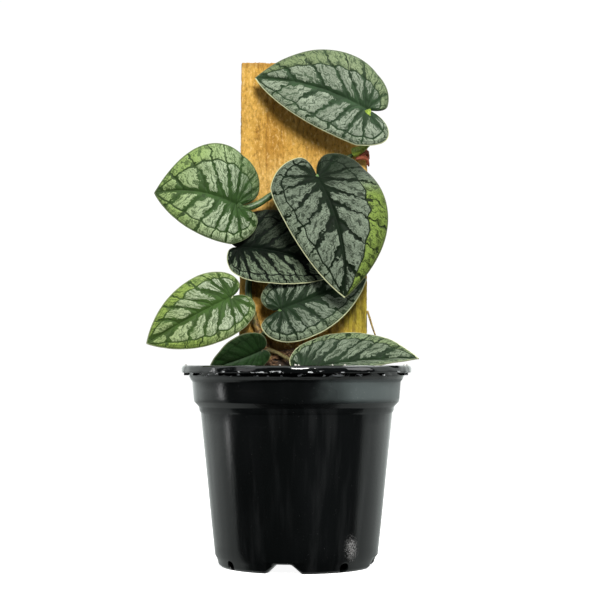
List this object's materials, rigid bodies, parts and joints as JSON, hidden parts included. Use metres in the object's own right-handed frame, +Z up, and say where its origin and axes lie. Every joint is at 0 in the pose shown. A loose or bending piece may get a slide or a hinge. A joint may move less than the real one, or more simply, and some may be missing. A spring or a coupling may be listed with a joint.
{
  "type": "potted monstera plant",
  "caption": "Silver-patterned shingling monstera climbing a rough-sawn wooden plank, in a black plastic nursery pot of potting mix.",
  "frame": {"origin": "the middle of the plant's overall box, on the surface the pot stands on", "axes": "+Z up along the plank, the longest way; -Y is the side that the leaves face; +X is to the right seen from there"},
  "size_m": [0.1388, 0.12, 0.2682],
  "materials": {
    "pot_plastic": "glossy injection-moulded black",
    "mix": "damp bark and peat mix",
    "sawn_wood": "rough-sawn, untreated",
    "stem_green": "smooth living stem",
    "blade_silver": "satin leaf with silver patches between dark veins",
    "blade_yellow_green": "satin leaf with pale patches between green veins",
    "blade_dark": "satin dark green leaf",
    "root_brown": "dry fibrous aerial root"
  },
  "bodies": {
    "root": {"nursery_pot": "pot_plastic", "potting_mix": "mix", "wood_plank": "sawn_wood", "climbing_stem": "stem_green", "leaf_top": "blade_silver", "petiole_top": "stem_green", "leaf_upper_left": "blade_yellow_green", "petiole_upper_left": "stem_green", "leaf_centre": "blade_silver", "petiole_centre": "stem_green", "leaf_shaded": "blade_dark", "petiole_shaded": "stem_green", "leaf_lower_centre": "blade_silver", "petiole_lower_centre": "stem_green", "leaf_lower_left": "blade_yellow_green", "petiole_lower_left": "stem_green", "leaf_front_right": "blade_silver", "petiole_front_right": "stem_green", "leaf_base_left": "blade_dark", "petiole_base_left": "stem_green", "root_edge_high": "root_brown", "root_edge_low": "root_brown", "root_hanging": "root_brown", "root_waist": "root_brown", "root_low_left": "root_brown", "root_low_right": "root_brown"}
  },
  "joints": []
}
